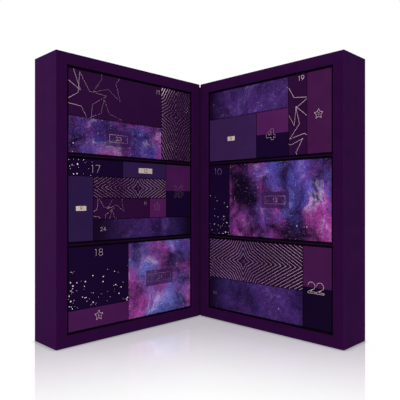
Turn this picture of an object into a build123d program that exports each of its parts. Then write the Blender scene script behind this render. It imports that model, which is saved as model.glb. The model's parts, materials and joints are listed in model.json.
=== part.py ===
from build123d import *
import os
from math import sqrt

# A standing advent calendar of two shallow cases joined like a book, with 24 cardboard boxes in its tiers.
# At rest the leaves stand open at 90 degrees. The left leaf lies along X and faces -Y, and the right leaf
# lies along Y and faces -X. The origin is the centre of the whole footprint, at the bottom.
# A place on a leaf is given by u, the distance from its hinge edge, d, the depth behind its front face,
# and z, the height. All lengths are in millimetres.

# Case leaf, outside
leaf_width = 322.0
leaf_height = 480.0
leaf_depth = 74.0
case_board = 2.0

# Front frame
rim_width = 20.0
rim_board = 2.0
frame_wall = 2.0

# Tiers
tiers = 3
shelf_board = 2.5
shelf_recess = 2.0
liner_board = 3.0

# Cartons
carton_recess = 3.0
carton_board = 0.8
carton_gap = 0.3
carton_back_gap = 0.5

# Carton lids
lid_board = 0.8
lid_gap = 0.3
flap_board = 0.8
flap_reach = 12.0
flap_gap = 0.5
flap_taper = 3.0

# Hinge between the leaves
axis_ahead = 0.5
axis_beside = 1.7
strip_board = 0.5
strip_depth = 60.0
strip_below_top = 6.0
strip_above_foot = 0.5
strip_half_gap = 0.1
crease_radius = 0.7
crease_gap = 0.15

# Closure magnets
magnet_radius = 5.0
magnet_thickness = 2.0
magnet_height_shares = (0.19, 0.5, 0.81)

# Carton faces, as shares of the clear width from the hinge edge and of the clear height of their tier:
# number: (nearest, furthest, lowest, highest)
carton_shares = {
    "left": {
        "top": {
            11: (0.28, 1, 0.44, 1),
            23: (0.28, 1, 0, 0.44),
            20: (0, 0.28, 0, 1),
        },
        "middle": {
            17: (0.607, 1, 0.79, 1),
            12: (0.236, 0.607, 0.79, 1),
            16: (0, 0.236, 0.26, 1),
            9: (0.828, 1, 0, 0.79),
            1: (0.236, 0.828, 0.523, 0.79),
            8: (0.3855, 0.828, 0.26, 0.523),
            3: (0.236, 0.3855, 0.26, 0.523),
            24: (0, 0.828, 0, 0.26),
        },
        "bottom": {
            18: (0.563, 1, 0.25, 1),
            6: (0.563, 1, 0, 0.25),
            21: (0, 0.563, 0, 1),
        },
    },
    "right": {
        "top": {
            7: (0, 0.695, 0.61, 1),
            5: (0, 0.437, 0, 0.61),
            4: (0.437, 0.695, 0, 0.61),
            19: (0.695, 0.83, 0, 1),
            2: (0.83, 1, 0, 1),
        },
        "middle": {
            10: (0, 0.194, 0, 1),
            13: (0.194, 1, 0, 1),
        },
        "bottom": {
            15: (0, 0.801, 0.44, 1),
            14: (0, 0.801, 0, 0.44),
            22: (0.801, 1, 0, 1),
        },
    },
}

# Places worked out from the sizes above
tier_height = (leaf_height - 2 * rim_width - (tiers - 1) * shelf_board) / tiers
tier_bottoms = {
    name: rim_width + level * (tier_height + shelf_board)
    for level, name in enumerate(("bottom", "middle", "top"))
}
inner_near = rim_width
inner_far = leaf_width - rim_width
inner_back = leaf_depth - case_board
clear_near = inner_near + liner_board
clear_width = inner_far - inner_near - 2 * liner_board
clear_height = tier_height - 2 * liner_board
hinge_shift = (axis_beside + leaf_width - axis_ahead - leaf_depth) / 2
carton_front = carton_recess + lid_board + lid_gap
carton_back = inner_back - carton_back_gap
crease_in = lid_board / 2


def place(leaf, u, d, z):
    """The point of the model at u, d and z on a leaf."""
    along = -(axis_beside + u)
    behind = axis_ahead + d
    if leaf == "left":
        return Vector(along + hinge_shift, behind + hinge_shift, z)
    return Vector(behind + hinge_shift, along + hinge_shift, z)


def block(leaf, u, d, z):
    """A box on a leaf between pairs of u, d and z."""
    one = place(leaf, u[0], d[0], z[0])
    other = place(leaf, u[1], d[1], z[1])
    size = [abs(b - a) for a, b in zip(one, other)]
    low = [min(a, b) for a, b in zip(one, other)]
    return Pos(*low) * Box(*size, align=(Align.MIN, Align.MIN, Align.MIN))


def rod(start, end, radius):
    """A round rod between two points of the model."""
    along = end - start
    return Solid.make_cylinder(radius, along.length, Plane(start, z_dir=along))


def prism(corners, sweep):
    """A solid swept along a vector from the outline through the given points."""
    outline = Face(Wire.make_polygon(corners, close=True))
    return Solid.extrude(outline, sweep)


def save(shape, node):
    export_step(shape, f"parts/{node}.step")


def case_tray(leaf):
    """Back and four outer walls of a leaf."""
    whole = block(leaf, (0, leaf_width), (rim_board, leaf_depth), (0, leaf_height))
    hollow = block(
        leaf,
        (case_board, leaf_width - case_board),
        (rim_board, inner_back),
        (case_board, leaf_height - case_board),
    )
    return whole - hollow


def front_frame(leaf):
    """Border of the front, with the inner walls that run back from its opening."""
    border = block(leaf, (0, leaf_width), (0, rim_board), (0, leaf_height))
    walls = block(
        leaf,
        (inner_near - frame_wall, inner_far + frame_wall),
        (rim_board, inner_back),
        (rim_width - frame_wall, leaf_height - rim_width + frame_wall),
    )
    opening = block(
        leaf,
        (inner_near, inner_far),
        (0, inner_back),
        (rim_width, leaf_height - rim_width),
    )
    return border + walls - opening


def shelves(leaf):
    """The shelves between the tiers."""
    boards = []
    for name in ("middle", "top"):
        top = tier_bottoms[name]
        boards.append(
            block(leaf, (inner_near, inner_far), (shelf_recess, inner_back), (top - shelf_board, top))
        )
    return Compound(children=boards)


def tier_liners(leaf):
    """A card sleeve round the inside of each tier."""
    sleeves = []
    for bottom in tier_bottoms.values():
        top = bottom + tier_height
        depth = (carton_recess, inner_back)
        outside = block(leaf, (inner_near, inner_far), depth, (bottom, top))
        inside = block(
            leaf,
            (inner_near + liner_board, inner_far - liner_board),
            depth,
            (bottom + liner_board, top - liner_board),
        )
        sleeves.append(outside - inside)
    return Compound(children=sleeves)


def magnets(leaf):
    """Discs glued behind the border at the free edge."""
    across = leaf_width - rim_width / 2
    discs = []
    for share in magnet_height_shares:
        height = share * leaf_height
        front = place(leaf, across, rim_board, height)
        back = place(leaf, across, rim_board + magnet_thickness, height)
        discs.append(rod(front, back, magnet_radius))
    return Compound(children=discs)


def hinge_strip(leaf):
    """Half of the strip: a wing on the hinge wall of a leaf and a web that reaches to the crease."""
    height = (strip_above_foot, leaf_height - strip_below_top)
    edge = strip_half_gap - axis_ahead
    wing = block(leaf, (-strip_board, 0), (edge, strip_depth), height)
    reach = 0 if leaf == "left" else crease_radius + crease_gap
    web = block(leaf, (reach - axis_beside, 0), (edge, edge + strip_board), height)
    if leaf == "right":
        return wing + web
    bottom = place(leaf, -axis_beside, -axis_ahead, height[0])
    top = place(leaf, -axis_beside, -axis_ahead, height[1])
    return wing + web + rod(bottom, top, crease_radius)


def footprint(tier, shares):
    """The nearest and furthest u and the lowest and highest z of a carton face."""
    near, far, low, high = shares
    half = carton_gap / 2
    bottom = tier_bottoms[tier] + liner_board
    u = (clear_near + near * clear_width + half, clear_near + far * clear_width - half)
    z = (bottom + low * clear_height + half, bottom + high * clear_height - half)
    return u, z


def carton(leaf, u, z):
    """Five walls of a carton, open at the front."""
    whole = block(leaf, u, (carton_front, carton_back), z)
    hollow = block(
        leaf,
        (u[0] + carton_board, u[1] - carton_board),
        (carton_front, carton_back - carton_board),
        (z[0] + carton_board, z[1] - carton_board),
    )
    return whole - hollow


def crease_side(u, z):
    """A lid folds at its top when it is wider than tall, and else at the side away from the hinge."""
    return "top" if u[1] - u[0] >= z[1] - z[0] else "side"


def crease_line(leaf, u, z):
    """The two ends of the line that a lid folds about."""
    depth = carton_recess + crease_in
    if crease_side(u, z) == "top":
        height = z[1] - crease_in
        return place(leaf, u[0], depth, height), place(leaf, u[1], depth, height)
    across = u[1] - crease_in
    return place(leaf, across, depth, z[0]), place(leaf, across, depth, z[1])


def flap_place(reach):
    """How far the outer face of a tuck flap lies from the crease, so that it swings clear of the wall."""
    swing = reach - crease_in - carton_board - flap_gap
    inward = lid_board - crease_in + flap_reach
    return sqrt(swing**2 - inward**2)


def lid(leaf, u, z):
    """The printed end of a carton: a panel with a rounded crease and a tapered tuck flap."""
    start, end = crease_line(leaf, u, z)
    depth = (carton_recess, carton_recess + lid_board)
    flap_depth = depth[1] + flap_reach
    inset = carton_board + flap_gap
    if crease_side(u, z) == "top":
        panel = block(leaf, u, depth, (z[0], z[1] - crease_in))
        height = z[1] - crease_in - flap_place(z[1] - z[0])
        corners = [
            place(leaf, u[0] + inset, depth[1], height),
            place(leaf, u[1] - inset, depth[1], height),
            place(leaf, u[1] - inset - flap_taper, flap_depth, height),
            place(leaf, u[0] + inset + flap_taper, flap_depth, height),
        ]
        sweep = Vector(0, 0, flap_board)
    else:
        panel = block(leaf, (u[0], u[1] - crease_in), depth, z)
        across = u[1] - crease_in - flap_place(u[1] - u[0])
        corners = [
            place(leaf, across, depth[1], z[0] + inset),
            place(leaf, across, depth[1], z[1] - inset),
            place(leaf, across, flap_depth, z[1] - inset - flap_taper),
            place(leaf, across, flap_depth, z[0] + inset + flap_taper),
        ]
        sweep = place(leaf, flap_board, 0, 0) - place(leaf, 0, 0, 0)
    return panel + rod(start, end, crease_in) + prism(corners, sweep)


os.makedirs("parts", exist_ok=True)

for leaf, tier_table in carton_shares.items():
    save(case_tray(leaf), f"{leaf}_case_tray")
    save(front_frame(leaf), f"{leaf}_front_frame")
    save(shelves(leaf), f"{leaf}_shelves")
    save(tier_liners(leaf), f"{leaf}_tier_liners")
    save(magnets(leaf), f"{leaf}_magnets")
    save(hinge_strip(leaf), f"hinge_strip_{leaf}")
    for tier, table in tier_table.items():
        for number, shares in table.items():
            across, upward = footprint(tier, shares)
            save(carton(leaf, across, upward), f"carton_{number:02d}")
            save(lid(leaf, across, upward), f"lid_{number:02d}")
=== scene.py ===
import json
import math
import random

import bmesh
import bpy
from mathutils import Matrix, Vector


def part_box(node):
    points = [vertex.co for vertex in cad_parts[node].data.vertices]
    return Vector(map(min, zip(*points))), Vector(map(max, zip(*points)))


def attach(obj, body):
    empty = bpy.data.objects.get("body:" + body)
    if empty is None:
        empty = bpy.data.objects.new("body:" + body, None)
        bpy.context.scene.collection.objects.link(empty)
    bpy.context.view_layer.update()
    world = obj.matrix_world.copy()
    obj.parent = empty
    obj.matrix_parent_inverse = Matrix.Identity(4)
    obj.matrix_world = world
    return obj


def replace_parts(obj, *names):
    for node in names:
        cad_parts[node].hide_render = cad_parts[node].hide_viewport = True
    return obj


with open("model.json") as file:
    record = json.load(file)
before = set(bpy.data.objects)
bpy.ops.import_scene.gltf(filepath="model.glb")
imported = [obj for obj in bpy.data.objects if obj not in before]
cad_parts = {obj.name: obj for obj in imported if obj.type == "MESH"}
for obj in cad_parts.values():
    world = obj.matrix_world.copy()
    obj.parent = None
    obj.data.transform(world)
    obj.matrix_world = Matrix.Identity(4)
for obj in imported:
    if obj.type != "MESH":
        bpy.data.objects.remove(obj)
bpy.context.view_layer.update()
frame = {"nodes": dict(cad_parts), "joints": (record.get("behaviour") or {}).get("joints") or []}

# The boxes of each leaf
LEFT_BOXES = (1, 3, 6, 8, 9, 11, 12, 16, 17, 18, 20, 21, 23, 24)
RIGHT_BOXES = (2, 4, 5, 7, 10, 13, 14, 15, 19, 22)

# Board, paper and rounded edges, in metres
MM = 0.001
BOARD = 0.8 * MM
PRINT_REACH = 0.6 * MM
STRIP = 0.5 * MM
CASE_ROUND = 0.7 * MM
CASE_ROUND_STEPS = 3
BOARD_ROUND = 0.15 * MM
BOARD_ROUND_STEPS = 2
WELD = 0.001 * MM
TINY = 0.01 * MM

# How far the sides at an edge must turn, in radians, for an edge of the case or of cut board to be rounded,
# and for the case's shading to break there. A profile of a half is round
CASE_ANGLE = 1.0
CUT_ANGLE = math.radians(50)
SHARP_ANGLE = math.radians(40)
ROUND_PROFILE = 0.5

# The noises of finishes: scale in patches to a metre, detail and roughness
FIBRE_NOISE = (1100.0, 4, 0.6)
MOTTLE_NOISE = (31.0, 4, 0.55)
RUB_NOISE = (160.0, 5, 0.65)
STREAK_NOISE = (420.0, 5, 0.7)
STREAK_STRETCH = (1, 1, 0.15)
TARNISH_NOISE = (45.0, 3, 0.5)

# What most values of a noise lie between, their middle, and how bright a colour is at the two limits
NOISE_LIMITS = (0.3, 0.7)
NOISE_MIDDLE = 0.5
MOTTLE = (0.94, 1.06)
TARNISH = (0.9, 1.06)

# Bumps of a surface: height in metres and strength, and how much they vary its roughness
FIBRE_BUMP = (0.03 * MM, 0.3)
FIBRE_SPREAD = 0.12
STREAK_BUMP = (0.01 * MM, 0.25)
STREAK_SPREAD = 0.14

# Worn edges: how far from an edge they are full and gone, in metres, and where in their noise the patches
# begin and are full, with the share that is rubbed there
WORN_WIDTH = (0.2 * MM, 1.3 * MM)
WORN_PATCHES = (0.42, 0.72, 0.08, 0.6)

# Roughness and sheen of the wrapping paper and of the boxes
WRAP_FINISH = (0.62, 0.005)
BOX_FINISH = (0.5, 0.02)

# Camera, from the photograph: level, at half the height, on the line that halves the angle of the leaves
CAMERA_DISTANCE = 0.976
LENS = 42.27
SENSOR = 36.0


def srgb(text):
    """A colour written as in a picture, such as 2A0A32, as linear red, green, blue and alpha."""
    parts = [int(text[i:i + 2], 16) / 255 for i in (0, 2, 4)]
    linear = [c / 12.92 if c <= 0.04045 else ((c + 0.055) / 1.055) ** 2.4 for c in parts]
    return (*linear, 1.0)


# Colours
WRAP = srgb("2A0A34")
WRAP_WORN = srgb("3F1C4B")
# The shelves' wrap, darker than the case's: painted shade for the recessed shelves
SHELF_WRAP_PAINTED_SHADE = srgb("1C0823")
CREASE_WRAP = srgb("1F0727")
# Black card of the tier liners; its near-black edge round each tier also stands in for the shadow in the gap
# there: partly painted shade
BLACK_CARD_GAP_SHADE = srgb("08040C")
WHITE_BOARD = srgb("CFC9C2")
MAROON = srgb("43174A")
PALE_MAROON = srgb("4C1B50")
DEEP_MAROON = srgb("3F1542")
NAVY = srgb("160629")
DEEP_NAVY = srgb("110420")
VIOLET = srgb("2E1A45")
PALE_VIOLET = srgb("341E4A")
DEEP_VIOLET = srgb("2A1841")
DARK_PURPLE = srgb("2B0B34")
RING_PURPLE = srgb("270A2F")
FOIL = srgb("E6C8D4")
SPARKLE = srgb("F6F0EE")
GOLD_CARD = srgb("C9B6AC")
GOLD_INK = srgb("5E4A3C")
PANEL_COLOUR = srgb("35184A")
NEBULA_DARK = srgb("14061F")
NEBULA_DEEP = srgb("271642")
NEBULA_VIOLET = srgb("49307E")
NEBULA_BLUE = srgb("4B49A0")
BRIGHT_VIOLET = srgb("5A3A94")
BRIGHT_BLUE = srgb("5F62B4")
NEBULA_PINK = srgb("9C3E94")
NEBULA_PALE = srgb("C9B2E0")
STRIP_DEEP = srgb("241440")
STRIP_VIOLET = srgb("452769")
STRIP_BLUE = srgb("3E3378")
STRIP_PALE = srgb("6E5AA4")
STAR_WHITE = srgb("E4DCF2")
STEEL = srgb("B5B7BA")

# What each box shows, by its number: one colour, or that of its upper and that of its lower half
PLAIN_COLOURS = {
    3: PALE_MAROON,
    6: MAROON,
    2: DEEP_MAROON,
    **dict.fromkeys((17, 18, 10), NAVY),
    12: VIOLET,
    9: DEEP_VIOLET,
    5: PALE_VIOLET,
    **dict.fromkeys((11, 8, 19), DARK_PURPLE),
    **dict.fromkeys((20, 1, 15), RING_PURPLE),
}
TWO_TONE = {16: (MAROON, NAVY), 4: (PALE_MAROON, NAVY), 22: (DEEP_MAROON, DEEP_NAVY)}

# Nebulas: wide ones with pink, and calmer strips. scale is in patches to a metre, seed gives each its own
# clouds, and the other numbers are shares
WIDE_LOOK = {
    "deep": NEBULA_DEEP, "violet": NEBULA_VIOLET, "blue": NEBULA_BLUE, "pale": NEBULA_PALE,
    "scale": 15.0, "dust": 0.9, "dark": 0.85, "glow": 0.6, "fewer_stars": 0.0,
}
STRIP_LOOK = {
    "deep": STRIP_DEEP, "violet": STRIP_VIOLET, "blue": STRIP_BLUE, "pale": STRIP_PALE,
    "scale": 13.0, "dust": 0.6, "dark": 0.3, "glow": 0.6, "pink": 0.0, "fewer_stars": 0.7,
}
NEBULAS = {
    23: {**WIDE_LOOK, "seed": 23, "pink": 0.55, "dark": 0.35},
    21: {
        **WIDE_LOOK, "seed": 26, "violet": BRIGHT_VIOLET, "blue": BRIGHT_BLUE,
        "pink": 0.62, "dark": 0.15, "dust": 0.5, "glow": 0.8,
    },
    13: {
        **WIDE_LOOK, "seed": 30, "violet": BRIGHT_VIOLET,
        "pink": 0.5, "dark": 1.0, "dust": 1.0, "glow": 1.0,
    },
    24: {**STRIP_LOOK, "seed": 24},
    7: {**STRIP_LOOK, "seed": 7, "blue": STRIP_VIOLET},
    14: {**STRIP_LOOK, "seed": 14},
}

# The noises of a nebula: shift, scale in patches to a metre, detail and roughness
HUE_NOISE = ((7, 3, 5), 7.0, 8, 0.55)
COLD_NOISE = ((4, 8, 1), 7.0, 8, 0.55)
DEPTH_NOISE = ((5, 2, 8), 7.5, 6, 0.55)
HAZE_NOISE = ((0, 0, 0), 420.0, 3, 0.6)

# The same for noises whose scale is a share of the look's own
CLOUD_NOISE = ((0, 0, 0), 1.0, 13, 0.66)
DUST_NOISE = ((2, 9, 4), 1.7, 14, 0.74)
WISP_NOISE = ((9, 1, 6), 0.8, 13, 0.64)

# How far each step of a seed moves the noises, in metres, and the noise that bends them, with its reach
SEED_SHIFT = (0.37, 0.61, 0.23)
BEND_NOISE = (9.0, 4, 0.5)
BEND_REACH = (0.1, 0.1, 0.1)

# Where a part of a nebula begins and is full, as values of its noise, and for some the share or brightness
# at these two. A look's pink lowers the pink's values by its gain
BLUE_RANGE = (0.44, 0.62)
PINK_RANGE = (0.62, 0.76)
PINK_GAIN = 0.3
GAS_RANGE = (0.34, 0.58)
PALE_RANGE = (0.56, 0.8)
RIDGE_RANGE = (0.0, 0.03, 0.5, 0.0)
FILAMENT_RANGE = (0.5, 0.64)
DARK_RANGE = (0.56, 0.4)
DUST_RANGE = (0.5, 0.66)
HAZE_RANGE = (0.34, 0.66, 0.68, 1.34)

# Each kind of star: cells in a metre, how rare, the largest radius as a share of a cell, and the brightness.
# The bias makes most of them small
STAR_FIELDS = ((420.0, 0.6, 0.3, 0.4), (230.0, 0.9, 0.26, 0.8), (52.0, 0.6, 0.09, 1.0))
STAR_BIAS = 2.6
SMALLEST_STAR = 0.0001

# Number: how far the dark reaches from the left and from the right, as shares of the front
DARK_ENDS = {24: (0.55, 0.46), 7: (0.27, 0), 14: (0.32, 0)}
END_SHADE = 0.98

# Painted shade round a box's front, for the shadow in the gaps between boxes: how far from the edge it is
# full and gone, in metres, and how bright the print is at these two
PAINTED_SEAM_SHADE = (0.35 * MM, 0.9 * MM, 0.22, 1.0)

# Foil, in millimetres. Its lines lie at FOIL_LAYERS heights in turn, a step apart
FOIL_PROUD = 0.05
FOIL_SUNK = 0.02
FOIL_STEP = 0.012
FOIL_LAYERS = 7
PLATE_PROUD = 0.03
FACE_MARGIN = 0.45

# The cosine of half a corner's turn at which its mitre stops growing, and the digits that a corner keeps
SHARPEST_MITRE = 0.3
POINT_DIGITS = 4

# Number: the place of its numeral across and up, as shares of the front, and its height in millimetres
NUMERALS = {
    11: (0.956, 0.86, 7.3), 23: (0.5, 0.5, 7), 20: (0.5, 0.62, 5), 17: (0.474, 0.436, 13),
    12: (0.504, 0.48, 6), 16: (0.49, 0.49, 23), 9: (0.507, 0.505, 5.6), 1: (0.58, 0.5, 7.5),
    8: (0.92, 0.76, 7.3), 3: (0.45, 0.57, 4.2), 24: (0.085, 0.53, 6), 18: (0.48, 0.889, 11.6),
    6: (0.485, 0.555, 4.2), 21: (0.475, 0.5, 7.5), 7: (0.055, 0.5, 6.5), 5: (0.48, 0.5, 6),
    4: (0.46, 0.485, 20), 19: (0.69, 0.947, 8.2), 2: (0.477, 0.475, 4.2), 10: (0.422, 0.912, 12.2),
    13: (0.49, 0.5, 7.5), 15: (0.4, 0.5, 5.5), 22: (0.458, 0.498, 19), 14: (0.065, 0.49, 6.5),
}

# The width of a numeral's line in millimetres, by number, or as a share of its height
OUTLINED_LINES = {16: 0.42, 4: 0.8, 22: 0.46}
STROKES = {17: 0.4, 18: 0.4, 10: 0.85, 23: 0.75, 21: 0.85, 13: 0.8}
STROKE_SHARE = 0.066
LABEL_STROKE_SHARE = 0.17

# The gap between two digits, as a share of their height
DIGIT_GAP = 0.32
OUTLINED_GAP = 0.1

# Number: panel's width and height, and frame's width and height, in millimetres
PANELS = {23: ((53, 28), (38, 13)), 21: ((66, 29), (57, 14)), 13: ((61, 30), (44, 14))}
FRAME_LINE = 0.5
PANEL_COVER = 0.8

# Number: width and height of its label, in millimetres, as is the radius of its corners
LABELS = {12: (32, 9.4), 9: (19.5, 7.9), 5: (18.5, 8.6)}
LABEL_ROUND = 0.8
LABEL_ROUND_STEPS = 4

# Number: the gap from ring to ring, in millimetres. The first ring lies FIRST_RING gaps from the centre
STAR_RINGS = {20: 5.4, 1: 4.7, 15: 5.2}
FIRST_RING = 1.5
RING_POINTS = 4
RING_INNER_SHARE = 0.52

# Number: each sparkle's centre, as shares, its radius in millimetres and its turn in degrees
SPARKLES = {
    11: ((0.16, 0.4, 44, 14), (0.4, 0.88, 40, 36), (0.36, 0.02, 34, 4), (-0.03, 1.0, 44, 40)),
    8: ((0.13, 0.35, 27, 14), (0.4, 0.92, 26, 36), (0.32, -0.1, 20, 4)),
    19: ((0.1, 0.64, 38, 12), (0.98, 0.36, 40, 32), (0.08, 0.04, 34, 40)),
}
SPARKLE_POINTS = 4
SPARKLE_INNER_SHARE = 0.36

# Number: the width of its rings' or sparkles' lines in millimetres, or places across the front, as shares
# from its left edge, with the width at each. A side longer than LONGEST_SIDE is divided, to follow them
# Widths that change across a front are painted glints: a box's foil lines are wider where its foil shines
# brighter
FOIL_LINES = {
    20: ((0, 1.75), (0.15, 1.05), (0.35, 0.58), (1, 0.4)),
    1: ((0, 0.17), (0.35, 0.17), (0.58, 0.95), (0.8, 1.45), (1, 1.5)),
    15: ((0, 1.15), (0.25, 1.58), (0.42, 1.05), (0.75, 1.0), (0.9, 0.52), (1, 0.42)),
    11: ((0, 0.52), (0.08, 0.34), (0.16, 0.2), (0.26, 0.13), (1, 0.13)),
    8: 0.2,
    19: 0.52,
}
LONGEST_SIDE = 8.0

# The small stars round three numerals, in millimetres
STAR_ICONS = (3, 6, 2)
ICON_RADIUS = 8.5
ICON_INNER_SHARE = 0.52
ICON_POINTS = 5
ICON_LINE = 0.45

# Number: how many dots, how far they reach across and up, as shares, and the side that they crowd at
CONFETTI = {17: (19, 0.42, 1.0, "left"), 18: (64, 1.0, 0.62, "left"), 10: (36, 1.0, 0.6, "right")}
CROWDING = (1.5, 1.9)

# The dots, with radii and gap in millimetres. Most are small, the large ones are sparkles, and above and
# below the numeral a share of its height stays clear
DOT_RADIUS = 0.32
DOT_GROWTH = 1.1
DOT_BIAS = 2.4
DOT_GAP = 0.6
DOT_SIDES = 12
CLEAR_ABOVE_SHARE = 0.8
SMALLEST_SPARKLE = 1.1
SPARKLE_GROWTH = 1.5
SPARKLE_WAIST = 0.42

# Floor: lengths in metres, shares and colours
FLOOR_SIZE = 8.0
FLOOR_MIRROR = 0.53
MIRROR_FADE = 0.48
MIRROR_SPREAD = 0.34
MIRROR_ROUGHNESS = 0.025
FLOOR_GLOW = 0.84
FLOOR_SHADE = (0.3, 0.22, 0.33, 1.0)
FLOOR_FAR_SHADE = (0.26, 0.26, 0.265, 1.0)
SHADE_FADE = (0.2, 0.55)
FLOOR_BOUNCE = (0.8, 0.8, 0.8, 1.0)
WHITE = (1, 1, 1, 1)
BLACK = (0, 0, 0, 1)

# The shadow where things stand: how far it reaches, in metres, how dark it is, and how open its darkest place
CONTACT_REACH = 12 * MM
CONTACT_SHADOW = 0.35
CONTACT_OPENNESS = 0.5

# The sky's light, and each lamp: where it shines from, its strength and how wide it is, in degrees
SKY_LIGHT = 0.56
LAMPS = {
    "front_light": ((-1, -0.88, 0.5), 2.25, 35),
    "side_light": ((-0.64, 0.77, 0), 1.65, 9),
}


# Places on the model
class Leaf:
    """A leaf's own places: u from its hinge edge, d behind its front, z up. Its axes go by number."""

    def __init__(self, name):
        low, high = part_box(f"{name}_front_frame")
        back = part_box(f"{name}_case_tray")[1]
        self.name = name
        self.body = f"{name}_leaf"
        self.along, self.across = (0, 1) if name == "left" else (1, 0)
        self.width, self.hinge = high[self.along] - low[self.along], high[self.along]
        self.front, self.depth = low[self.across], back[self.across] - low[self.across]
        self.height = high.z

    def place(self, u, d, z):
        """The point of the model at u, d and z."""
        if self.name == "left":
            return Vector((self.hinge - u, self.front + d, z))
        return Vector((self.front + d, self.hinge - u, z))

    def reading_place(self, point):
        """A point's u, d and z."""
        return self.hinge - point[self.along], point[self.across] - self.front, point.z


class Face:
    """The front of a box as one looks at it, in metres: h from its left edge, v from its bottom edge."""

    def __init__(self, number, leaf):
        low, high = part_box(f"lid_{number:02d}")
        first, second = leaf.reading_place(low), leaf.reading_place(high)
        self.number = number
        self.leaf = leaf
        self.body = f"front_{number:02d}"
        self.near, self.far = sorted((first[0], second[0]))
        self.depth = min(first[1], second[1])
        self.bottom = low.z
        self.width = self.far - self.near
        self.height = high.z - low.z

    def at(self, h, v, proud=0.0):
        """The point of the model at h and v, so far before the front."""
        u = self.far - h if self.leaf.name == "left" else self.near + h
        return self.leaf.place(u, self.depth - proud, self.bottom + v)


leaves = {name: Leaf(name) for name in ("left", "right")}
hinge_axis = Vector(next(j["pos_m"] for j in frame["joints"] if j["name"] == "leaf_hinge"))
faces = {n: Face(n, leaves["left"]) for n in LEFT_BOXES}
faces.update({n: Face(n, leaves["right"]) for n in RIGHT_BOXES})


# Nodes
class Nodes:
    """A node tree, filled by short calls."""

    def __init__(self, tree):
        self.tree = tree

    def put(self, socket, value):
        """Links a socket to another, or gives it a value."""
        if isinstance(value, bpy.types.NodeSocket):
            self.tree.links.new(value, socket)
        else:
            socket.default_value = value

    def node(self, kind, *values, **named):
        """A new node, with values for its inputs in order or by name, with underscores for spaces."""
        node = self.tree.nodes.new(f"ShaderNode{kind}")
        for socket, value in zip(node.inputs, values):
            self.put(socket, value)
        for name, value in named.items():
            self.put(node.inputs[name.replace("_", " ")], value)
        return node

    def math(self, operation, *values):
        node = self.node("Math", *values)
        node.operation = operation
        return node.outputs[0]

    def mix_shaders(self, factor, first, second):
        return self.node("MixShader", factor, first, second).outputs[0]

    def rays_that_see_white(self):
        """1 for a ray from the camera, and for one that metal or glass reflects."""
        path = self.node("LightPath").outputs
        reflected = self.math("MAXIMUM", path["Is Camera Ray"], path["Is Glossy Ray"])
        return self.math("MAXIMUM", reflected, path["Is Transmission Ray"])


class Shader(Nodes):
    """A new material and its nodes."""

    def __init__(self, name):
        self.material = bpy.data.materials.new(name)
        self.material.use_nodes = True
        super().__init__(self.material.node_tree)
        self.surface = self.tree.nodes["Principled BSDF"]
        self.position = self.node("TexCoord").outputs["Object"]

    def vector(self, operation, *values):
        node = self.node("VectorMath", *values)
        node.operation = operation
        return node.outputs["Vector"]

    def axes(self, source=None):
        """The X, Y and Z of a vector, or else of the place."""
        return tuple(self.node("SeparateXYZ", self.position if source is None else source).outputs)

    def noise(self, source, scale, detail, roughness, output="Fac"):
        node = self.node("TexNoise", Vector=source, Scale=scale, Detail=detail, Roughness=roughness)
        return node.outputs[output]

    def ramp(self, source, low, high, first=0.0, second=1.0):
        """A smooth step from the first value at low to the second at high."""
        node = self.node("MapRange", source, low, high, first, second)
        node.interpolation_type = "SMOOTHSTEP"
        return node.outputs[0]

    def mix(self, factor, first, second, blend="MIX"):
        """A mix of two colours. Its sockets go by their places, because others have the same names."""
        node = self.node("Mix")
        node.data_type = "RGBA"
        node.blend_type = blend
        for place, value in ((0, factor), (6, first), (7, second)):
            self.put(node.inputs[place], value)
        return node.outputs[2]

    def times(self, colour, value):
        """A colour made darker or lighter by a value."""
        grey = self.node("CombineColor", value, value, value).outputs[0]
        return self.mix(1.0, colour, grey, "MULTIPLY")

    def uneven(self, middle, spread, source):
        """A value that varies with a noise."""
        return self.math("MULTIPLY_ADD", source, spread, middle - spread / 2)

    def bump(self, height, distance, strength):
        node = self.node("Bump", Height=height, Distance=distance, Strength=strength)
        self.put(self.surface.inputs["Normal"], node.outputs[0])

    def set(self, **values):
        """Sets sockets of the surface, written with underscores for spaces."""
        for name, value in values.items():
            self.put(self.surface.inputs[name.replace("_", " ")], value)
        return self.material


# Finishes
def finish_board(shader, colour, roughness, specular):
    """Coated board: fine fibres as bump and in its gloss, and a slow mottle in its colour."""
    fine = shader.noise(shader.position, *FIBRE_NOISE)
    slow = shader.noise(shader.position, *MOTTLE_NOISE)
    shader.bump(fine, *FIBRE_BUMP)
    return shader.set(
        Base_Color=shader.times(colour, shader.ramp(slow, *NOISE_LIMITS, *MOTTLE)),
        Roughness=shader.uneven(roughness, FIBRE_SPREAD, fine),
        Specular_IOR_Level=specular,
    )


def edge_distance(shader, leaf):
    """How far a place on a leaf's outside is from the nearest edge of its case."""
    middles = leaf.place(leaf.width / 2, leaf.depth / 2, leaf.height / 2)
    halves = {leaf.along: leaf.width / 2, leaf.across: leaf.depth / 2, 2: leaf.height / 2}
    near = []
    for place, (axis, middle) in enumerate(zip(shader.axes(), middles)):
        offset = shader.math("ABSOLUTE", shader.math("SUBTRACT", axis, middle))
        near.append(shader.math("SUBTRACT", halves[place], offset))
    smaller = shader.math("MINIMUM", near[0], near[1])
    larger = shader.math("MAXIMUM", near[0], near[1])
    return shader.math("MAXIMUM", smaller, shader.math("MINIMUM", larger, near[2]))


def wrap_material(leaf):
    """Dark purple wrapping paper, a little paler where its edges have rubbed."""
    shader = Shader(f"{leaf.name}_wrap")
    rubbed = shader.ramp(edge_distance(shader, leaf), *WORN_WIDTH, 1.0, 0.0)
    patches = shader.ramp(shader.noise(shader.position, *RUB_NOISE), *WORN_PATCHES)
    colour = shader.mix(shader.math("MULTIPLY", rubbed, patches), WRAP, WRAP_WORN)
    return finish_board(shader, colour, *WRAP_FINISH)


def plain_material(name, colour, roughness=0.6, specular=0.02):
    """Board or paper of one colour."""
    return finish_board(Shader(name), colour, roughness, specular)


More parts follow.
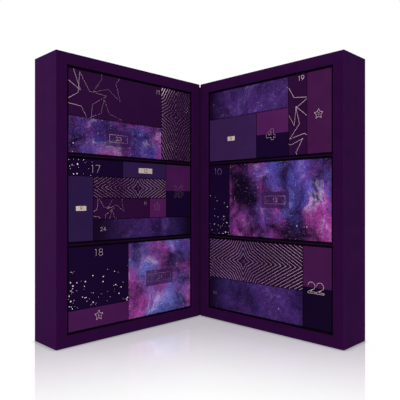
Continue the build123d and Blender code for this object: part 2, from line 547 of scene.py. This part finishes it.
def metal_material(name, colour, metallic, roughness):
    """Foil or plated metal, with fine streaks in its gloss and a faint unevenness."""
    shader = Shader(name)
    stretched = shader.vector("MULTIPLY", shader.position, STREAK_STRETCH)
    streaks = shader.noise(stretched, *STREAK_NOISE)
    patches = shader.noise(shader.position, *TARNISH_NOISE)
    shader.bump(streaks, *STREAK_BUMP)
    return shader.set(
        Base_Color=shader.times(colour, shader.ramp(patches, *NOISE_LIMITS, *TARNISH)),
        Roughness=shader.uneven(roughness, STREAK_SPREAD, streaks),
        Metallic=metallic,
    )


# Printed colours
def shifted_noise(shader, source, values, unit=1.0):
    """One of a nebula's noises, its scale times a unit."""
    shift, scale, detail, roughness = values
    return shader.noise(shader.vector("ADD", source, shift), scale * unit, detail, roughness)


def nebula(shader, look, stars):
    """Clouds of gas with dark depths, dust lanes and, if asked for, stars."""
    start = shader.vector("ADD", shader.position, [share * look["seed"] for share in SEED_SHIFT])
    bend = shader.vector("SUBTRACT", shader.noise(start, *BEND_NOISE, "Color"), [NOISE_MIDDLE] * 3)
    bent = shader.vector("ADD", start, shader.vector("MULTIPLY", bend, BEND_REACH))
    hue = shifted_noise(shader, bent, HUE_NOISE)
    cold = shifted_noise(shader, start, COLD_NOISE)
    depth = shifted_noise(shader, start, DEPTH_NOISE)
    haze = shifted_noise(shader, start, HAZE_NOISE)
    cloud = shifted_noise(shader, bent, CLOUD_NOISE, look["scale"])
    dust = shifted_noise(shader, bent, DUST_NOISE, look["scale"])
    wisp = shifted_noise(shader, bent, WISP_NOISE, look["scale"])

    gas = shader.mix(shader.ramp(cold, *BLUE_RANGE), look["violet"], look["blue"])
    pink = [value - PINK_GAIN * look["pink"] for value in PINK_RANGE]
    gas = shader.mix(shader.ramp(hue, *pink), gas, NEBULA_PINK)
    colour = shader.mix(shader.ramp(cloud, *GAS_RANGE), look["deep"], gas)
    colour = shader.mix(shader.ramp(cloud, *PALE_RANGE, 0.0, look["glow"]), colour, look["pale"])
    from_ridge = shader.math("ABSOLUTE", shader.math("SUBTRACT", wisp, NOISE_MIDDLE))
    ridge = shader.ramp(from_ridge, *RIDGE_RANGE)
    filament = shader.math("MULTIPLY", ridge, shader.ramp(cloud, *FILAMENT_RANGE))
    colour = shader.mix(filament, colour, look["pale"])
    colour = shader.mix(shader.ramp(depth, *DARK_RANGE, 0.0, look["dark"]), colour, NEBULA_DARK)
    colour = shader.mix(shader.ramp(dust, *DUST_RANGE, 0.0, look["dust"]), colour, NEBULA_DARK)
    colour = shader.times(colour, shader.ramp(haze, *HAZE_RANGE))
    if stars:
        for scale, rarity, size, brightness in STAR_FIELDS:
            rarity += look["fewer_stars"] * (1 - rarity)
            glow = scattered_stars(shader, scale, rarity, size, look["seed"])
            colour = shader.mix(shader.math("MULTIPLY", glow, brightness), colour, STAR_WHITE)
    return colour


def scattered_stars(shader, scale, rarity, size, seed):
    """The glow of small round stars, most of them tiny, in some cells of a grid of random points."""
    x, y, z = shader.axes()
    plane = shader.node("CombineXYZ", shader.math("ADD", x, y), z, float(seed)).outputs[0]
    cells = shader.node("TexVoronoi", Vector=plane, Scale=scale)
    cells.voronoi_dimensions = "2D"
    luck = shader.axes(cells.outputs["Color"])[0]
    rest = 1 - rarity
    share = shader.math("MAXIMUM", shader.math("MULTIPLY_ADD", luck, 1 / rest, -rarity / rest), 0.0)
    radius = shader.math("MULTIPLY", shader.math("POWER", share, STAR_BIAS), size)
    edge = shader.math("ADD", radius, SMALLEST_STAR)
    return shader.ramp(cells.outputs["Distance"], 0.0, edge, 1.0, 0.0)


def box_colour(shader, face, front):
    """The printed colour of a box, by its number. Only its front has stars, a panel and dark ends."""
    number = face.number
    if number in NEBULAS:
        colour = nebula(shader, NEBULAS[number], stars=front)
        return darker_ends(shader, face, panel(shader, face, colour)) if front else colour
    if number in TWO_TONE:
        z = shader.axes()[2]
        middle = face.bottom + face.height / 2
        return shader.mix(shader.math("LESS_THAN", z, middle), *TWO_TONE[number])
    return PLAIN_COLOURS[number]


def place_on_face(shader, face):
    """A face's own h and v, in metres, for masks."""
    x, y, z = shader.axes()
    corner = face.at(0, 0)
    if face.leaf.name == "left":
        h = shader.math("SUBTRACT", x, corner.x)
    else:
        h = shader.math("SUBTRACT", corner.y, y)
    return h, shader.math("SUBTRACT", z, corner.z)


def panel(shader, face, colour):
    """A dark see-through panel behind the numeral, if the box has one."""
    if face.number not in PANELS:
        return colour
    centre = (NUMERALS[face.number][0] * face.width, NUMERALS[face.number][1] * face.height)
    inside = []
    for place, middle, size in zip(place_on_face(shader, face), centre, PANELS[face.number][0]):
        offset = shader.math("ABSOLUTE", shader.math("SUBTRACT", place, middle))
        inside.append(shader.math("LESS_THAN", offset, size / 2 * MM))
    cover = shader.math("MULTIPLY", shader.math("MULTIPLY", *inside), PANEL_COVER)
    return shader.mix(cover, colour, PANEL_COLOUR)


def darker_ends(shader, face, colour):
    """A strip's print fades into the dark at its ends, if the box has such ends."""
    if face.number not in DARK_ENDS:
        return colour
    left, right = DARK_ENDS[face.number]
    h = shader.math("DIVIDE", place_on_face(shader, face)[0], face.width)
    fade = shader.ramp(h, 0.0, left, 1.0, 0.0)
    if right:
        fade = shader.math("MAXIMUM", fade, shader.ramp(h, 1 - right, 1.0))
    return shader.mix(shader.math("MULTIPLY", fade, END_SHADE), colour, NEBULA_DARK)


def darker_edges(shader, face, colour):
    """Painted shade along the edges round a front, for the shadow in the gaps between boxes."""
    h, v = place_on_face(shader, face)
    near = [
        shader.math("MINIMUM", place, shader.math("SUBTRACT", size, place))
        for place, size in ((h, face.width), (v, face.height))
    ]
    return shader.times(colour, shader.ramp(shader.math("MINIMUM", *near), *PAINTED_SEAM_SHADE))


def board_and_print(shader, printed, colour):
    """Bare board, and the printed colour where printed is 1."""
    colour = shader.mix(printed, WHITE_BOARD, colour)
    return finish_board(shader, colour, *BOX_FINISH)


def front_material(face):
    """The front of a box, printed on its outer side."""
    shader = Shader(f"front_{face.number:02d}_print")
    limit = face.at(0, 0)[face.leaf.across] + PRINT_REACH
    printed = shader.math("LESS_THAN", shader.axes()[face.leaf.across], limit)
    # The print darkens along the front's edges: painted shade for the gaps between boxes
    colour = darker_edges(shader, face, box_colour(shader, face, front=True))
    return board_and_print(shader, printed, colour)


def carton_material(face):
    """The walls of a box, printed outside and bare inside. Its open front isn't an outside."""
    shader = Shader(f"carton_{face.number:02d}_print")
    low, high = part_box(f"carton_{face.number:02d}")
    low[face.leaf.across] -= face.leaf.depth
    middle = (low + high) / 2
    half = (high - low) / 2 - Vector((BOARD, BOARD, BOARD)) / 2
    offset = shader.vector("ABSOLUTE", shader.vector("SUBTRACT", shader.position, middle))
    x, y, z = shader.axes(shader.vector("SUBTRACT", offset, half))
    most = shader.math("MAXIMUM", x, shader.math("MAXIMUM", y, z))
    printed = shader.math("GREATER_THAN", most, 0.0)
    return board_and_print(shader, printed, box_colour(shader, face, front=False))


# Lines and figures in a plane
def arc(x, y, across, up, start, stop, steps=9):
    """Points along an ellipse from one angle to another, in degrees."""
    angles = [math.radians(start + (stop - start) * i / steps) for i in range(steps + 1)]
    return [(x + across * math.cos(a), y + up * math.sin(a)) for a in angles]


def loop(x, y, across, up, steps):
    """Points round an ellipse."""
    return arc(x, y, across, up, 0, 360, steps)[:-1]


def star(x, y, outer, inner_share, points, turn=0.0):
    """The corners of a star."""
    corners = []
    for i in range(2 * points):
        reach = outer if i % 2 == 0 else outer * inner_share
        angle = math.radians(90 + turn + 180 * i / points)
        corners.append((x + reach * math.cos(angle), y + reach * math.sin(angle)))
    return corners


def star_reach(inner_share, points):
    """How far a star's sides lie from its centre, as a share of its radius."""
    corner = math.pi / points
    x, y = inner_share * math.cos(corner), inner_share * math.sin(corner)
    return y / math.hypot(1 - x, y)


def divided(corners, longest):
    """A closed outline with points added, so that none of its sides is longer than a length."""
    points = []
    for start, end in zip(corners, corners[1:] + corners[:1]):
        parts = math.ceil(math.dist(start, end) / longest)
        points += [tuple(a + i / parts * (b - a) for a, b in zip(start, end)) for i in range(parts)]
    return points


def value_at(place, table):
    """The value at a place, between those of a table of places and values."""
    place = min(max(place, table[0][0]), table[-1][0])
    for (start, low), (end, high) in zip(table, table[1:]):
        if place <= end:
            return low + (high - low) * (place - start) / (end - start)


# Each digit at a height of 1: its width, then its lines, with True for a closed one
DIGITS = {
    "0": (0.86, [(loop(0.43, 0.5, 0.43, 0.5, 24), True)]),
    "1": (0.42, [([(0.14, 0.9), (0.31, 1), (0.31, 0)], False)]),
    "2": (0.7, [(arc(0.34, 0.69, 0.33, 0.31, 170, -38) + [(0, 0), (0.7, 0)], False)]),
    "3": (0.66, [
        (arc(0.31, 0.76, 0.28, 0.24, 160, -90), False),
        (arc(0.31, 0.26, 0.34, 0.26, 90, -160), False),
    ]),
    "4": (0.78, [([(0.58, 0), (0.58, 1), (0, 0.27), (0.78, 0.27)], False)]),
    "5": (0.66, [
        ([(0.6, 1), (0.13, 1), (0.07, 0.56)] + arc(0.31, 0.32, 0.34, 0.32, 135, -150), False),
    ]),
    "6": (0.72, [([(0.5, 1), (0.07, 0.48)], False), (loop(0.36, 0.31, 0.36, 0.31, 20), True)]),
    "7": (0.68, [([(0, 1), (0.68, 1), (0.24, 0)], False)]),
    "8": (0.72, [
        (loop(0.36, 0.755, 0.3, 0.245, 18), True),
        (loop(0.36, 0.265, 0.36, 0.265, 18), True),
    ]),
    "9": (0.72, [([(0.22, 0), (0.65, 0.52)], False), (loop(0.36, 0.69, 0.36, 0.31, 20), True)]),
}

# The wide digits that show as outlines, in the same way. The line of a 2 stays open at its top
OUTLINED_DIGITS = {
    "1": (0.34, [
        ([(0.18, 0), (0.34, 0), (0.34, 1), (0.2, 1), (0.03, 0.94), (0.03, 0.85), (0.18, 0.89)], True),
    ]),
    "2": (0.76, [
        (
            arc(0.37, 0.65, 0.36, 0.35, 172, -38)
            + [(0, 0.12), (0, 0), (0.76, 0), (0.76, 0.13), (0.25, 0.13), (0.6, 0.43)],
            False,
        ),
    ]),
    "4": (0.98, [
        (
            [
                (0.53, 0), (0.8, 0), (0.8, 0.22), (0.98, 0.22), (0.98, 0.46), (0.8, 0.46),
                (0.8, 1), (0.56, 1), (0, 0.46), (0, 0.22), (0.53, 0.22),
            ],
            True,
        ),
        ([(0.53, 0.46), (0.53, 0.72), (0.25, 0.46)], True),
    ]),
    "6": (0.74, [
        ([(0.42, 1)] + arc(0.37, 0.33, 0.37, 0.33, 160, 428, 20) + [(0.63, 1)], True),
        (loop(0.37, 0.33, 0.19, 0.17, 14), True),
    ]),
}


# New pieces
def add_object(name, data):
    piece = bpy.data.objects.new(name, data)
    bpy.context.scene.collection.objects.link(piece)
    return piece


def add_mesh(name, corners, polygons, material):
    mesh = bpy.data.meshes.new(name)
    mesh.from_pydata(corners, [], polygons)
    mesh.materials.append(material)
    return add_object(name, mesh)


class Art:
    """Thin closed solids on the front of a box, gathered in one mesh. Places are in millimetres."""

    def __init__(self, face):
        self.face = face
        self.width, self.height = face.width / MM, face.height / MM
        self.corners = []
        self.polygons = []
        self.layer = 0

    def clipped(self, polygon):
        """A polygon cut to the front, less a narrow margin."""
        limits = (
            (0, FACE_MARGIN, 1), (0, self.width - FACE_MARGIN, -1),
            (1, FACE_MARGIN, 1), (1, self.height - FACE_MARGIN, -1),
        )
        for axis, limit, side in limits:
            kept = []
            for here, there in zip(polygon, polygon[1:] + polygon[:1]):
                inside, next_inside = (side * (p[axis] - limit) >= 0 for p in (here, there))
                if inside:
                    kept.append(here)
                if inside != next_inside:
                    share = (limit - here[axis]) / (there[axis] - here[axis])
                    kept.append(tuple(a + share * (b - a) for a, b in zip(here, there)))
            polygon = kept
        return polygon

    def slab(self, polygons, proud=FOIL_PROUD):
        """One closed solid from flat polygons that meet along their edges."""
        proud += self.layer * FOIL_STEP
        numbers = {}
        tops = []
        for polygon in map(self.clipped, polygons):
            rounded = [tuple(round(value, POINT_DIGITS) for value in point) for point in polygon]
            distinct = list(dict.fromkeys(rounded))
            if len(distinct) > 2:
                tops.append([numbers.setdefault(point, len(numbers)) for point in distinct])
        first, count = len(self.corners), len(numbers)
        for height in (proud, -FOIL_SUNK):
            self.corners += [self.face.at(h * MM, v * MM, height * MM) for h, v in numbers]
        edges = {(a, b) for top in tops for a, b in zip(top, top[1:] + top[:1])}
        for top in tops:
            self.polygons.append([first + n for n in top])
            self.polygons.append([first + count + n for n in reversed(top)])
        for a, b in sorted(edges):
            if (b, a) not in edges:
                self.polygons.append([first + a, first + count + a, first + count + b, first + b])

    def line(self, points, widths, closed=False):
        """A flat line with mitred corners, of one width or of widths by the place across the front.

        The next line lies at another height, so that the two can cross."""
        count = len(points)
        sides = []
        for i, (x, y) in enumerate(points):
            before = points[i - 1] if closed or i else points[i]
            after = points[(i + 1) % count] if closed or i < count - 1 else points[i]
            first = Vector((x - before[0], y - before[1])).normalized()
            second = Vector((after[0] - x, after[1] - y)).normalized()
            along = (first + second).normalized()
            aside = Vector((-along.y, along.x))
            edge = first if first.length else second
            width = value_at(x / self.width, widths) if isinstance(widths, tuple) else widths
            reach = width / 2 / max(SHARPEST_MITRE, aside.dot(Vector((-edge.y, edge.x))))
            left = (x - aside.x * reach, y - aside.y * reach)
            right = (x + aside.x * reach, y + aside.y * reach)
            sides.append((left, right))
        following = sides[1:] + sides[:1] if closed else sides[1:]
        self.slab([[a[0], b[0], b[1], a[1]] for a, b in zip(sides, following)])
        self.layer = (self.layer + 1) % FOIL_LAYERS

    def build(self, name, material):
        piece = add_mesh(name, self.corners, self.polygons, material)
        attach(piece, self.face.body)


def numeral(art, across, up, height, stroke, glyphs=DIGITS, gap=DIGIT_GAP):
    """The number of a box, with its centre at a place."""
    text = str(art.face.number)
    whole = sum(glyphs[character][0] for character in text) + gap * (len(text) - 1)
    start = across - whole * height / 2
    for character in text:
        width, lines = glyphs[character]
        for points, closed in lines:
            placed = [(start + x * height, up + (y - 0.5) * height) for x, y in points]
            art.line(placed, stroke, closed)
        start += (width + gap) * height


def star_rings(art, across, up):
    """Stars one round another, out to the corners of the front."""
    gap = STAR_RINGS[art.face.number]
    reach = star_reach(RING_INNER_SHARE, RING_POINTS)
    furthest = math.hypot(max(across, art.width - across), max(up, art.height - up))
    for ring in range(int(furthest / gap) + 1):
        radius = (FIRST_RING + ring) * gap / reach
        corners = star(across, up, radius, RING_INNER_SHARE, RING_POINTS)
        art.line(divided(corners, LONGEST_SIDE), FOIL_LINES[art.face.number], closed=True)


def sparkle_outlines(art):
    """Large stars that overlap and run off the front."""
    for across, up, radius, turn in SPARKLES[art.face.number]:
        place = (across * art.width, up * art.height)
        corners = star(*place, radius, SPARKLE_INNER_SHARE, SPARKLE_POINTS, turn)
        art.line(divided(corners, LONGEST_SIDE), FOIL_LINES[art.face.number], closed=True)


def frame_line(art, across, up, wide, high):
    """A rectangle round the numeral."""
    ends = ((-1, -1), (1, -1), (1, 1), (-1, 1))
    corners = [(across + x * wide / 2, up + y * high / 2) for x, y in ends]
    art.line(corners, FRAME_LINE, closed=True)


def confetti(art, across, up, height):
    """Dots and small four-pointed sparkles, thick in one corner and thinning out, clear of the numeral."""
    count, wide, high, side = CONFETTI[art.face.number]
    draw = random.Random(art.face.number)
    taken = []
    while len(taken) < count:
        h = wide * draw.random() ** CROWDING[0]
        v = high * draw.random() ** CROWDING[1]
        h = h if side == "left" else 1 - h
        x, y = h * art.width, v * art.height
        radius = DOT_RADIUS + DOT_GROWTH * draw.random() ** DOT_BIAS
        clear = abs(x - across) > height or abs(y - up) > CLEAR_ABOVE_SHARE * height
        inside = radius < x < art.width - radius and radius < y < art.height - radius
        apart = all(math.hypot(x - a, y - b) > radius + r + DOT_GAP for a, b, r in taken)
        if clear and inside and apart:
            taken.append((x, y, radius))
    for x, y, radius in taken:
        if radius > SMALLEST_SPARKLE:
            corners = star(x, y, radius * SPARKLE_GROWTH, SPARKLE_WAIST, SPARKLE_POINTS)
        else:
            corners = loop(x, y, radius, radius, DOT_SIDES)
        art.slab([corners])


def label_plate(art, across, up, wide, high):
    """A gold label with rounded corners."""
    corners = []
    for turn, (x, y) in enumerate(((1, 1), (-1, 1), (-1, -1), (1, -1))):
        middle = (across + x * (wide / 2 - LABEL_ROUND), up + y * (high / 2 - LABEL_ROUND))
        start, stop = 90 * turn, 90 * turn + 90
        corners += arc(*middle, LABEL_ROUND, LABEL_ROUND, start, stop, LABEL_ROUND_STEPS)
    art.slab([corners], PLATE_PROUD)


def dress_label(face, place, height):
    """The gold label of a box and the numeral printed on it."""
    plate = Art(face)
    label_plate(plate, *place, *LABELS[face.number])
    plate.build(f"lid_{face.number:02d}_label", materials["gold_card"])
    ink = Art(face)
    numeral(ink, *place, height, LABEL_STROKE_SHARE * height)
    ink.build(f"lid_{face.number:02d}_numeral", materials["gold_ink"])


def dress_foil(face, place, height):
    """The foil of a box, with its numeral."""
    number = face.number
    if number in CONFETTI:
        dots = Art(face)
        confetti(dots, *place, height)
        dots.build(f"lid_{number:02d}_confetti", materials["sparkle"])
    art = Art(face)
    if number in STAR_RINGS:
        star_rings(art, *place)
    if number in SPARKLES:
        sparkle_outlines(art)
    if number in PANELS:
        frame_line(art, *place, *PANELS[number][1])
    if number in STAR_ICONS:
        corners = star(*place, ICON_RADIUS, ICON_INNER_SHARE, ICON_POINTS)
        art.line(corners, ICON_LINE, closed=True)
    if number in OUTLINED_LINES:
        numeral(art, *place, height, OUTLINED_LINES[number], OUTLINED_DIGITS, OUTLINED_GAP)
    else:
        numeral(art, *place, height, STROKES.get(number, STROKE_SHARE * height))
    art.build(f"lid_{number:02d}_foil", materials["foil"])


def dress_front(face):
    """What lies on the printed front of a box."""
    across, up, height = NUMERALS[face.number]
    place = (across * (face.width / MM), up * (face.height / MM))
    dress = dress_label if face.number in LABELS else dress_foil
    dress(face, place, height)


# The case
def softened(leaf, node, chosen):
    """A copy of a case part with its wrapped edges rounded, which stands for that part."""
    mesh = bmesh.new()
    mesh.from_mesh(frame["nodes"][node].data)
    bmesh.ops.remove_doubles(mesh, verts=mesh.verts, dist=WELD)
    edges = []
    for edge in mesh.edges:
        between_two = len(edge.link_faces) == 2
        sharp = between_two and edge.calc_face_angle() > CASE_ANGLE and edge.is_convex
        if sharp and chosen(*(leaf.reading_place(corner.co) for corner in edge.verts)):
            edges.append(edge)
    bmesh.ops.bevel(
        mesh,
        geom=edges,
        offset=CASE_ROUND,
        segments=CASE_ROUND_STEPS,
        profile=ROUND_PROFILE,
        affect="EDGES",
    )
    data = bpy.data.meshes.new(f"{node}_wrapped")
    mesh.to_mesh(data)
    mesh.free()
    data.shade_smooth()
    data.set_sharp_from_angle(angle=SHARP_ANGLE)
    data.materials.append(materials[f"{leaf.name}_wrap"])
    piece = add_object(f"{node}_wrapped", data)
    piece.modifiers.new("Even shading", "WEIGHTED_NORMAL").keep_sharp = True
    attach(piece, leaf.body)
    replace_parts(piece, node)


def case_parts(leaf):
    """The tray and the front frame, whose seam under the wrapping stays flush."""
    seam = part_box(f"{leaf.name}_front_frame")[0][leaf.across]
    seam_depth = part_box(f"{leaf.name}_case_tray")[0][leaf.across] - seam

    def on_outside(place):
        u, d, z = place
        sides = ((u, leaf.width), (d, leaf.depth), (z, leaf.height))
        return any(value < TINY or value > size - TINY for value, size in sides)

    def wrapped_edge(first, second):
        along_seam = all(abs(place[1] - seam_depth) < TINY for place in (first, second))
        return on_outside(first) and on_outside(second) and not along_seam

    softened(leaf, f"{leaf.name}_case_tray", wrapped_edge)
    softened(leaf, f"{leaf.name}_front_frame", wrapped_edge)


def paper(leaf, name, outline, foot, top):
    """An upright piece of the hinge strip's paper on a leaf, from its outline in u and d."""
    corners = [leaf.place(u, d, z) for z in (foot, top) for u, d in outline]
    count = len(outline)
    lower, upper = range(count), range(2 * count - 1, count - 1, -1)
    sides = [(i, (i + 1) % count, (i + 1) % count + count, i + count) for i in range(count)]
    piece = add_mesh(name, corners, [tuple(lower), tuple(upper), *sides], materials["crease_wrap"])
    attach(piece, leaf.body)
    return piece


def hinge_papers():
    """The right half of the strip, with a web that runs on into the crease, and the tops of both wings."""
    left, right = leaves["left"], leaves["right"]
    low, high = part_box("hinge_strip_right")
    front, behind = right.reading_place(low)[1], right.reading_place(high)[1]
    crease = right.reading_place(hinge_axis)[0]
    web = [
        (0, front), (crease, front), (crease, front + STRIP), (-STRIP, front + STRIP),
        (-STRIP, behind), (0, behind),
    ]
    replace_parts(paper(right, "hinge_strip_right_paper", web, low.z, high.z), "hinge_strip_right")
    wing = [(0, front), (-STRIP, front), (-STRIP, behind), (0, behind)]
    for leaf, outline in ((left, wing[::-1]), (right, wing)):
        paper(leaf, f"hinge_strip_{leaf.name}_wing_top", outline, high.z, leaf.height - CASE_ROUND)


def dress_node(node, material):
    """A CAD part that stays, with a finish and slightly rounded edges."""
    part = frame["nodes"][node]
    for slot in part.material_slots:
        slot.material = material
    weld = part.modifiers.new("Joined faces", "WELD")
    weld.merge_threshold = WELD
    bevel = part.modifiers.new("Cut edges", "BEVEL")
    bevel.width = BOARD_ROUND
    bevel.segments = BOARD_ROUND_STEPS
    bevel.limit_method = "ANGLE"
    bevel.angle_limit = CUT_ANGLE
    bevel.harden_normals = True


# Floor, light and camera
def floor_material():
    """White floor with a soft shadow where things stand and a mirror image that fades to the front."""
    shader = Shader("studio_floor")
    shader.tree.nodes.remove(shader.surface)
    x, y = shader.axes()[:2]
    ahead = shader.math("SUBTRACT", hinge_axis.x + hinge_axis.y, shader.math("ADD", x, y))
    aside = shader.math("ABSOLUTE", shader.math("SUBTRACT", x, y))
    fade = shader.math("MULTIPLY_ADD", aside, -MIRROR_SPREAD, shader.math("ABSOLUTE", ahead))
    mirror = shader.ramp(fade, 0.0, MIRROR_FADE * math.sqrt(2), FLOOR_MIRROR, 0.0)
    shade = shader.mix(shader.ramp(fade, *SHADE_FADE), FLOOR_SHADE, FLOOR_FAR_SHADE)
    diffuse = shader.node("BsdfDiffuse", Color=shade).outputs[0]
    glow = shader.node("Emission", Strength=FLOOR_GLOW).outputs[0]
    glossy = shader.node("BsdfGlossy", Color=WHITE, Roughness=MIRROR_ROUGHNESS).outputs[0]
    pale = shader.node("AddShader", diffuse, glow).outputs[0]
    seen = shader.mix_shaders(mirror, pale, glossy)
    openness = shader.node("AmbientOcclusion", Distance=CONTACT_REACH).outputs["AO"]
    open_share = shader.ramp(openness, CONTACT_OPENNESS, 1.0, 1 - CONTACT_SHADOW, 1.0)
    dark = shader.node("BsdfDiffuse", Color=BLACK).outputs[0]
    seen = shader.mix_shaders(open_share, dark, seen)
    bounce = shader.node("BsdfDiffuse", Color=FLOOR_BOUNCE).outputs[0]
    whole = shader.mix_shaders(shader.rays_that_see_white(), bounce, seen)
    shader.put(shader.tree.nodes["Material Output"].inputs["Surface"], whole)
    return shader.material


def make_floor():
    half = FLOOR_SIZE / 2
    corners = [(-half, -half, 0), (half, -half, 0), (half, half, 0), (-half, half, 0)]
    floor = add_mesh("floor", corners, [(0, 1, 2, 3)], floor_material())


def make_world():
    """A sky that is seen white and lights the model more softly."""
    world = bpy.data.worlds.new("studio")
    world.use_nodes = True
    sky = Nodes(world.node_tree)
    sky.tree.nodes.clear()
    strength = sky.node("MapRange", Value=sky.rays_that_see_white(), To_Min=SKY_LIGHT, To_Max=1.0)
    background = sky.node("Background", Color=WHITE, Strength=strength.outputs[0])
    sky.node("OutputWorld", Surface=background.outputs[0])
    bpy.context.scene.world = world


def make_sun(name, source, strength, angle):
    """A sun that shines from a direction, softer with a wider angle."""
    light = bpy.data.lights.new(name, "SUN")
    light.energy = strength
    light.angle = math.radians(angle)
    lamp = add_object(name, light)
    lamp.rotation_mode = "QUATERNION"
    lamp.rotation_quaternion = Vector(source).to_track_quat("Z", "Y")


def make_camera():
    data = bpy.data.cameras.new("camera")
    data.lens = LENS
    data.sensor_width = SENSOR
    camera = add_object("camera", data)
    forward = Vector((1, 1, 0)).normalized()
    camera.location = hinge_axis - forward * CAMERA_DISTANCE
    camera.rotation_mode = "QUATERNION"
    camera.rotation_quaternion = forward.to_track_quat("-Z", "Y")
    bpy.context.scene.camera = camera


# The model, dressed
materials = {
    # Darker wrap on the shelves: painted shade in their recess
    "shelf_wrap": plain_material("shelf_wrap", SHELF_WRAP_PAINTED_SHADE),
    "crease_wrap": plain_material("crease_wrap", CREASE_WRAP),
    "black_card": plain_material("black_card_finish", BLACK_CARD_GAP_SHADE, roughness=0.7, specular=0.008),
    "foil": metal_material("rose_gold_foil", FOIL, metallic=0.86, roughness=0.22),
    "sparkle": metal_material("pale_foil", SPARKLE, metallic=0.2, roughness=0.5),
    "gold_card": metal_material("gold_card_finish", GOLD_CARD, metallic=0.12, roughness=0.5),
    "gold_ink": plain_material("gold_ink_print", GOLD_INK),
    "magnet": metal_material("plated_magnet", STEEL, metallic=1.0, roughness=0.3),
}
for leaf in leaves.values():
    materials[f"{leaf.name}_wrap"] = wrap_material(leaf)
    case_parts(leaf)
    dress_node(f"{leaf.name}_shelves", materials["shelf_wrap"])
    # The liners' black card is partly painted shade for the gap round each tier
    dress_node(f"{leaf.name}_tier_liners", materials["black_card"])
    dress_node(f"{leaf.name}_magnets", materials["magnet"])

dress_node("hinge_strip_left", materials["crease_wrap"])
hinge_papers()

for number, face in sorted(faces.items()):
    dress_node(f"lid_{number:02d}", front_material(face))
    dress_node(f"carton_{number:02d}", carton_material(face))
    dress_front(face)

make_floor()
make_world()
for name, values in LAMPS.items():
    make_sun(name, *values)
make_camera()
bpy.context.scene.view_settings.view_transform = "Standard"
